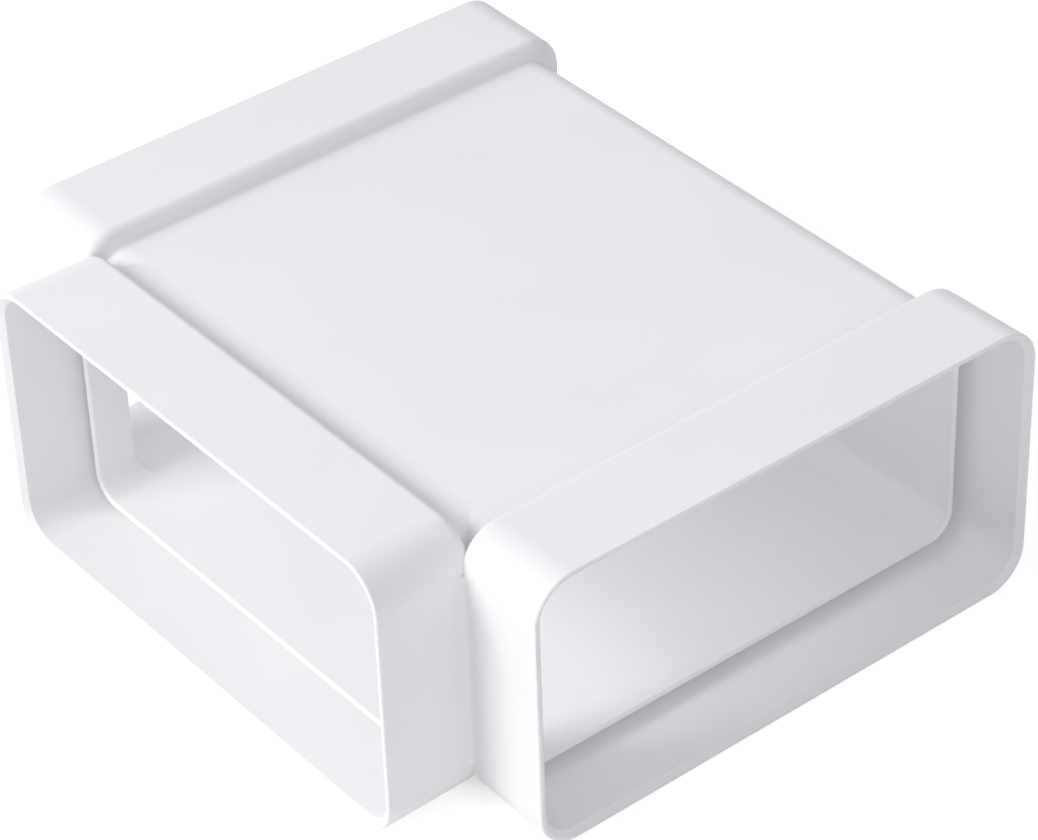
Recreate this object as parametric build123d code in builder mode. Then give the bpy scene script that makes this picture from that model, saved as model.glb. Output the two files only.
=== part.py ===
"""Flat duct tee: one white moulded piece with three equal double-walled sockets for a flat duct.

Millimetres, +Z up. The run lies along Y and the branch opens towards -X. The origin is the middle of the
space the tee takes up on the floor it lies on, at floor level.
"""
from build123d import *
import os

# The flat duct, whose end slides into the slot between a collar and the body's end
DUCT_WIDTH = 110.0
DUCT_HEIGHT = 54.0
DUCT_WALL = 1.5
DUCT_GAP = 0.3

# The collars, with a lead-in at the mouth and a back edge that is rounded
COLLAR_WALL = 1.8
COLLAR_DEPTH = 20.5
COLLAR_CORNER = 8.2
COLLAR_FLARE = 0.3
COLLAR_EDGE = 1.8
RIM_WIDTH = 0.75
RIM_EASE = 0.2
LEAD_IN_DEPTH = 1.0

# How far neighbouring collars run into each other, and the cove in the valley between them
RUN_LAP = 1.6
BRANCH_LAP = 2.6
VALLEY = 1.2

# The body, whose thin ends stand free inside the collars
BODY_WALL = 1.1
BODY_CORNER = 5.8
END_SETBACK = 14.5
END_EASE = 0.5
CREASE = 0.6

# Sizes that follow
socket_width = DUCT_WIDTH + 2 * DUCT_GAP
socket_height = DUCT_HEIGHT + 2 * DUCT_GAP
socket_corner = COLLAR_CORNER - COLLAR_WALL
stop_depth = COLLAR_DEPTH - COLLAR_WALL
collar_width = socket_width + 2 * COLLAR_WALL
collar_height = socket_height + 2 * COLLAR_WALL
body_width = DUCT_WIDTH - 2 * (DUCT_WALL + DUCT_GAP)
body_height = DUCT_HEIGHT - 2 * (DUCT_WALL + DUCT_GAP)
bore_width = body_width - 2 * BODY_WALL
bore_height = body_height - 2 * BODY_WALL
bore_corner = BODY_CORNER - BODY_WALL
run_length = collar_width + 2 * (COLLAR_DEPTH - RUN_LAP)
branch_reach = collar_width / 2 + COLLAR_DEPTH - BRANCH_LAP
run_x = (branch_reach - collar_width / 2) / 2
valley_x = run_x - collar_width / 2 + COLLAR_FLARE
valley_y = -collar_width / 2 + COLLAR_FLARE
axis_z = collar_height / 2

# The mouth planes, each facing out of its socket
front_mouth = Plane(origin=(run_x, -run_length / 2, axis_z), x_dir=(1, 0, 0), z_dir=(0, -1, 0))
back_mouth = Plane(origin=(run_x, run_length / 2, axis_z), x_dir=(-1, 0, 0), z_dir=(0, 1, 0))
branch_mouth = Plane(origin=(run_x - branch_reach, 0, axis_z), x_dir=(0, -1, 0), z_dir=(-1, 0, 0))
mouths = [front_mouth, back_mouth, branch_mouth]

# One collar, solid, with its mouth on the XY plane, on a short stub of the body.
# Its back edge is rounded and the crease where it meets the body is filled.
with BuildPart() as collar:
    with BuildSketch(Plane.XY):
        RectangleRounded(collar_width, collar_height, COLLAR_CORNER)
    with BuildSketch(Plane.XY.offset(-COLLAR_DEPTH)):
        RectangleRounded(
            collar_width - 2 * COLLAR_FLARE,
            collar_height - 2 * COLLAR_FLARE,
            COLLAR_CORNER - COLLAR_FLARE,
        )
    loft(ruled=True)
    with BuildSketch(Plane.XY.offset(-COLLAR_DEPTH)):
        RectangleRounded(body_width, body_height, BODY_CORNER)
    extrude(amount=-2 * CREASE)
    step = collar.faces().filter_by(Axis.Z).sort_by(Axis.Z)[1]
    fillet(step.outer_wire().edges(), COLLAR_EDGE)
    step = collar.faces().filter_by(Axis.Z).sort_by(Axis.Z)[1]
    fillet(step.inner_wires()[0].edges(), CREASE)
    rim = collar.faces().filter_by(Axis.Z).sort_by(Axis.Z)[-1]
    chamfer(rim.edges(), RIM_EASE)

# The hollow of one socket: a lead-in, a straight socket, and the duct's slot round the body's end
with BuildPart() as hollow:
    with BuildSketch(Plane.XY):
        RectangleRounded(
            collar_width - 2 * RIM_WIDTH,
            collar_height - 2 * RIM_WIDTH,
            COLLAR_CORNER - RIM_WIDTH,
        )
    with BuildSketch(Plane.XY.offset(-LEAD_IN_DEPTH)):
        RectangleRounded(socket_width, socket_height, socket_corner)
    loft(ruled=True)
    with BuildSketch(Plane.XY.offset(-LEAD_IN_DEPTH)):
        RectangleRounded(socket_width, socket_height, socket_corner)
    extrude(amount=-(stop_depth - LEAD_IN_DEPTH))
    with BuildSketch(Plane.XY.offset(-END_SETBACK)):
        RectangleRounded(body_width, body_height, BODY_CORNER)
    extrude(amount=-(stop_depth - END_SETBACK), mode=Mode.SUBTRACT)

# The coves that fill the valleys between the branch collar and its two neighbours
with BuildPart() as coves:
    with BuildSketch(Plane.XY.offset(COLLAR_CORNER)):
        with Locations((valley_x + COLLAR_WALL / 2, valley_y + COLLAR_WALL / 2)):
            Rectangle(VALLEY + COLLAR_WALL / 2, VALLEY + COLLAR_WALL / 2, align=(Align.MAX, Align.MAX))
        with Locations((valley_x - VALLEY, valley_y - VALLEY)):
            Circle(VALLEY, mode=Mode.SUBTRACT)
    extrude(amount=collar_height - 2 * COLLAR_CORNER)
    mirror(about=Plane.XZ)

# The tee: a run and a branch of the same section, the collars, then everything hollowed
with BuildPart() as duct_tee:
    with BuildSketch(front_mouth.offset(-END_SETBACK)):
        RectangleRounded(body_width, body_height, BODY_CORNER)
    extrude(amount=-(run_length - 2 * END_SETBACK))
    with BuildSketch(branch_mouth.offset(-END_SETBACK)):
        RectangleRounded(body_width, body_height, BODY_CORNER)
    extrude(amount=-(branch_reach - END_SETBACK))
    with Locations(*mouths):
        add(collar.part)
    add(coves.part)
    with Locations(*mouths):
        add(hollow.part, mode=Mode.SUBTRACT)
    with BuildSketch(front_mouth):
        RectangleRounded(bore_width, bore_height, bore_corner)
    extrude(amount=-run_length, mode=Mode.SUBTRACT)
    with BuildSketch(branch_mouth):
        RectangleRounded(bore_width, bore_height, bore_corner)
    extrude(amount=-branch_reach, mode=Mode.SUBTRACT)
    for mouth in mouths:
        body_end = duct_tee.faces().filter_by(mouth).sort_by_distance(mouth.offset(-END_SETBACK).origin)[0]
        chamfer(body_end.edges(), END_EASE)

duct_tee.part.label = "duct_tee"
os.makedirs("parts", exist_ok=True)
export_step(duct_tee.part, "parts/duct_tee.step")
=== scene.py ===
"""Looks of the flat duct tee: white moulded plastic in soft studio light, seen from the photo's angle.

Metres, +Z up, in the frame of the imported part.
"""
import math

import bpy
from mathutils import Matrix, Vector


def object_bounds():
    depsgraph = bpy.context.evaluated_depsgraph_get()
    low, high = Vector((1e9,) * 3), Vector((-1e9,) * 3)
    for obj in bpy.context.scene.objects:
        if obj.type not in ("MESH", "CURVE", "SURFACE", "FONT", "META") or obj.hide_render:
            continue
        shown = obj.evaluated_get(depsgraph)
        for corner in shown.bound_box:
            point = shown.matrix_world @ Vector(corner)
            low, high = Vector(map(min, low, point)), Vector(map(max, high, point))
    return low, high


# The photo's camera, fitted to the tee's own edges: it looks at the origin from this far off, in metres,
# and is then moved to its own right and up
PHOTO_WIDTH_PX = 1038
FOCAL_PX = 3893.6
SENSOR_MM = 36.0
AZIMUTH_DEG = -37.74
ELEVATION_DEG = 36.97
ROLL_DEG = -2.13
DISTANCE = 0.73306
STEP_RIGHT = 0.00638
STEP_UP = 0.02083

# The plastic: a clean white that is a little cloudy, with a fine grain that also varies its gloss, and faint
# waves. Each noise has a size in metres and a detail, and a range says which of its values are spread out.
PLASTIC_WHITE = (0.885, 0.886, 0.893)
PLASTIC_CLOUD = (0.865, 0.867, 0.878)
CLOUD_SIZE = 0.03
CLOUD_DETAIL = 4.0
CLOUD_RANGE = (0.35, 0.65)
GRAIN_SIZE = 0.0004
GRAIN_DETAIL = 2.0
GRAIN_RANGE = (0.3, 0.7)
GRAIN_DEPTH = 0.000012
WAVE_SIZE = 0.012
WAVE_DETAIL = 0.0
WAVE_DEPTH = 0.00004
GLOSS_ROUGHNESS = (0.44, 0.54)

# The white surround. It gives light all round above its low edge, less of it beyond its top edge, and light
# from a backdrop on the +Y side. Each edge is soft. It starts and ends where a unit vector has these parts:
# its Z for the low and the top edge, and its Y for the backdrop's.
SKY_LEVEL = 1.05
SKY_COLOUR = (0.96, 0.965, 1.05)
SKY_LOW_EDGE = (0.32, 0.44)
SKY_TOP_EDGE = (0.65, 0.85)
SKY_TOP_LEVEL = 0.3
SKY_BACK_EDGE = (0.55, 0.85)
SKY_BACK_LEVEL = 1.0

# The lamps, all at one distance from the tee's middle. The bearing runs from the branch side towards the
# front, and the height is above the horizon, both in degrees. The size is in metres.
LAMP_COLOUR = (1.0, 0.985, 0.945)
LAMP_DISTANCE = 1.15
LAMPS = {
    "key": {"bearing": -17, "height": 31, "size": 0.48, "watts": 7.6},
    "fill": {"bearing": 70, "height": 22, "size": 0.35, "watts": 1.4},
}

# How often light passes on between surfaces, which lights the inside of the ducts
LIGHT_BOUNCES = 12

# The floor, and the glow that lifts it to white where it is seen
FLOOR_SIZE = 6.0
FLOOR_WHITE = 0.85
FLOOR_LIFT = 0.5

# Places of the colour sockets on a mix node, whose names are not unique
MIX_FIRST = 6
MIX_SECOND = 7
MIX_RESULT = 2


def new_nodes(owner, output_kind):
    """Empties a node tree and gives it back with its output node."""
    owner.use_nodes = True
    tree = owner.node_tree
    tree.nodes.clear()
    return tree, tree.nodes.new(output_kind)


def map_range(tree, value, start, end, low=0.0, high=1.0):
    """The value's way from start to end as a number from low to high."""
    node = tree.nodes.new("ShaderNodeMapRange")
    node.inputs["From Min"].default_value = start
    node.inputs["From Max"].default_value = end
    node.inputs["To Min"].default_value = low
    node.inputs["To Max"].default_value = high
    tree.links.new(value, node.inputs["Value"])
    return node.outputs["Result"]


def math_node(tree, operation, first, second):
    """Two values, or a value and a number, put together."""
    node = tree.nodes.new("ShaderNodeMath")
    node.operation = operation
    tree.links.new(first, node.inputs[0])
    if isinstance(second, float):
        node.inputs[1].default_value = second
    else:
        tree.links.new(second, node.inputs[1])
    return node.outputs[0]


def noise(tree, place, size, detail):
    """Noise whose patches are about that size."""
    node = tree.nodes.new("ShaderNodeTexNoise")
    node.inputs["Scale"].default_value = 1.0 / size
    node.inputs["Detail"].default_value = detail
    tree.links.new(place, node.inputs["Vector"])
    return node.outputs["Fac"]


def mix_colours(tree, share, first, second):
    """A mix of two fixed colours, with that share of the second."""
    node = tree.nodes.new("ShaderNodeMix")
    node.data_type = "RGBA"
    tree.links.new(share, node.inputs["Factor"])
    node.inputs[MIX_FIRST].default_value = (*first, 1)
    node.inputs[MIX_SECOND].default_value = (*second, 1)
    return node.outputs[MIX_RESULT]


def bump(tree, height, depth, normal):
    """The normal with that height field pressed into it."""
    node = tree.nodes.new("ShaderNodeBump")
    node.inputs["Distance"].default_value = depth
    tree.links.new(height, node.inputs["Height"])
    tree.links.new(normal, node.inputs["Normal"])
    return node.outputs["Normal"]


def white_plastic():
    """Satin moulded plastic: cloudy white, fine grain and faint waves."""
    material = bpy.data.materials.new("white_plastic")
    tree, output = new_nodes(material, "ShaderNodeOutputMaterial")
    shader = tree.nodes.new("ShaderNodeBsdfPrincipled")
    place = tree.nodes.new("ShaderNodeTexCoord").outputs["Object"]
    cloud = noise(tree, place, CLOUD_SIZE, CLOUD_DETAIL)
    grain = noise(tree, place, GRAIN_SIZE, GRAIN_DETAIL)
    wave = noise(tree, place, WAVE_SIZE, WAVE_DETAIL)
    clouding = map_range(tree, cloud, *CLOUD_RANGE)
    white = mix_colours(tree, clouding, PLASTIC_WHITE, PLASTIC_CLOUD)
    roughness = map_range(tree, grain, *GRAIN_RANGE, *GLOSS_ROUGHNESS)
    plain_normal = tree.nodes.new("ShaderNodeNewGeometry").outputs["Normal"]
    waved = bump(tree, wave, WAVE_DEPTH, plain_normal)
    grained = bump(tree, grain, GRAIN_DEPTH, waved)
    tree.links.new(white, shader.inputs["Base Color"])
    tree.links.new(roughness, shader.inputs["Roughness"])
    tree.links.new(grained, shader.inputs["Normal"])
    tree.links.new(shader.outputs["BSDF"], output.inputs["Surface"])
    return material


def seen_directly(tree):
    """A value of 1 for rays that show a thing straight or in a reflection, and 0 for its light on others."""
    path = tree.nodes.new("ShaderNodeLightPath")
    seen = math_node(tree, "MAXIMUM", path.outputs["Is Camera Ray"], path.outputs["Is Glossy Ray"])
    return math_node(tree, "MAXIMUM", seen, path.outputs["Is Transmission Ray"])


def pale_floor(size):
    """A pale floor that the camera sees as white and that still takes the tee's shadow."""
    bpy.ops.mesh.primitive_plane_add(size=size)
    floor = bpy.context.object
    floor.name = "floor"
    material = bpy.data.materials.new("floor_white")
    tree, output = new_nodes(material, "ShaderNodeOutputMaterial")
    diffuse = tree.nodes.new("ShaderNodeBsdfDiffuse")
    diffuse.inputs["Color"].default_value = (FLOOR_WHITE, FLOOR_WHITE, FLOOR_WHITE, 1)
    lift = tree.nodes.new("ShaderNodeEmission")
    lift_level = math_node(tree, "MULTIPLY", seen_directly(tree), FLOOR_LIFT)
    tree.links.new(lift_level, lift.inputs["Strength"])
    both = tree.nodes.new("ShaderNodeAddShader")
    tree.links.new(diffuse.outputs[0], both.inputs[0])
    tree.links.new(lift.outputs[0], both.inputs[1])
    tree.links.new(both.outputs[0], output.inputs["Surface"])
    floor.data.materials.append(material)
    return floor


def white_sky():
    """A white surround: soft light from all round and from the backdrop, and plain white to the camera."""
    world = bpy.data.worlds.new("studio")
    bpy.context.scene.world = world
    tree, output = new_nodes(world, "ShaderNodeOutputWorld")
    place = tree.nodes.new("ShaderNodeTexCoord").outputs["Generated"]
    direction = tree.nodes.new("ShaderNodeSeparateXYZ")
    tree.links.new(place, direction.inputs[0])
    risen = map_range(tree, direction.outputs["Z"], *SKY_LOW_EDGE)
    overhead = map_range(tree, direction.outputs["Z"], *SKY_TOP_EDGE, 1.0, SKY_TOP_LEVEL)
    backdrop = map_range(tree, direction.outputs["Y"], *SKY_BACK_EDGE, 0.0, SKY_BACK_LEVEL)
    all_round = math_node(tree, "MULTIPLY", risen, overhead)
    share = math_node(tree, "MAXIMUM", all_round, backdrop)
    level = math_node(tree, "MULTIPLY", share, SKY_LEVEL)
    glow = tree.nodes.new("ShaderNodeBackground")
    glow.inputs["Color"].default_value = (*SKY_COLOUR, 1)
    tree.links.new(level, glow.inputs["Strength"])
    white = tree.nodes.new("ShaderNodeBackground")
    white.inputs["Color"].default_value = (1, 1, 1, 1)
    either = tree.nodes.new("ShaderNodeMixShader")
    tree.links.new(seen_directly(tree), either.inputs["Fac"])
    tree.links.new(glow.outputs[0], either.inputs[1])
    tree.links.new(white.outputs[0], either.inputs[2])
    tree.links.new(either.outputs[0], output.inputs["Surface"])


def softbox(name, target, bearing, height, size, watts):
    """A square area lamp that faces the target."""
    turn = math.radians(bearing)
    lift = math.radians(height)
    towards = Vector(
        (
            -math.cos(turn) * math.cos(lift),
            -math.sin(turn) * math.cos(lift),
            math.sin(lift),
        )
    )
    lamp = bpy.data.lights.new(name, "AREA")
    lamp.shape = "SQUARE"
    lamp.size = size
    lamp.energy = watts
    lamp.color = LAMP_COLOUR
    holder = bpy.data.objects.new(name, lamp)
    holder.location = target + towards * LAMP_DISTANCE
    holder.rotation_euler = (-towards).to_track_quat("-Z", "Y").to_euler()
    bpy.context.collection.objects.link(holder)


def photo_camera():
    """The camera where the photo was taken from."""
    azimuth = math.radians(AZIMUTH_DEG)
    elevation = math.radians(ELEVATION_DEG)
    back = Vector(
        (
            math.sin(azimuth) * math.cos(elevation),
            -math.cos(azimuth) * math.cos(elevation),
            math.sin(elevation),
        )
    )
    level_right = Vector((math.cos(azimuth), math.sin(azimuth), 0))
    right = Matrix.Rotation(math.radians(ROLL_DEG), 3, back) @ level_right
    up = back.cross(right)
    data = bpy.data.cameras.new("photo_camera")
    data.sensor_width = SENSOR_MM
    data.lens = FOCAL_PX / PHOTO_WIDTH_PX * SENSOR_MM
    camera = bpy.data.objects.new("photo_camera", data)
    place = Matrix.Translation(back * DISTANCE + right * STEP_RIGHT + up * STEP_UP)
    turn = Matrix((right, up, back)).transposed().to_4x4()
    camera.matrix_world = place @ turn
    bpy.context.collection.objects.link(camera)
    bpy.context.scene.camera = camera


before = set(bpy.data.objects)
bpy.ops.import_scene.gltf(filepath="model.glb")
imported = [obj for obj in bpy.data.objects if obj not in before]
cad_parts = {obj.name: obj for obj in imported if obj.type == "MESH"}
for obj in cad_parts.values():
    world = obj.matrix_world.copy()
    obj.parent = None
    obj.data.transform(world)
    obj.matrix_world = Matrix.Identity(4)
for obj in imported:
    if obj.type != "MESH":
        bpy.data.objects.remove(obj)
cad_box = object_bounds()
middle = (cad_box[0] + cad_box[1]) / 2

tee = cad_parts["duct_tee"]
tee.data.materials.clear()
tee.data.materials.append(white_plastic())

pale_floor(FLOOR_SIZE)
white_sky()
for lamp_name, lamp in LAMPS.items():
    softbox(lamp_name, middle, **lamp)
photo_camera()
bpy.context.scene.view_settings.view_transform = "Standard"
bpy.context.scene.cycles.diffuse_bounces = LIGHT_BOUNCES
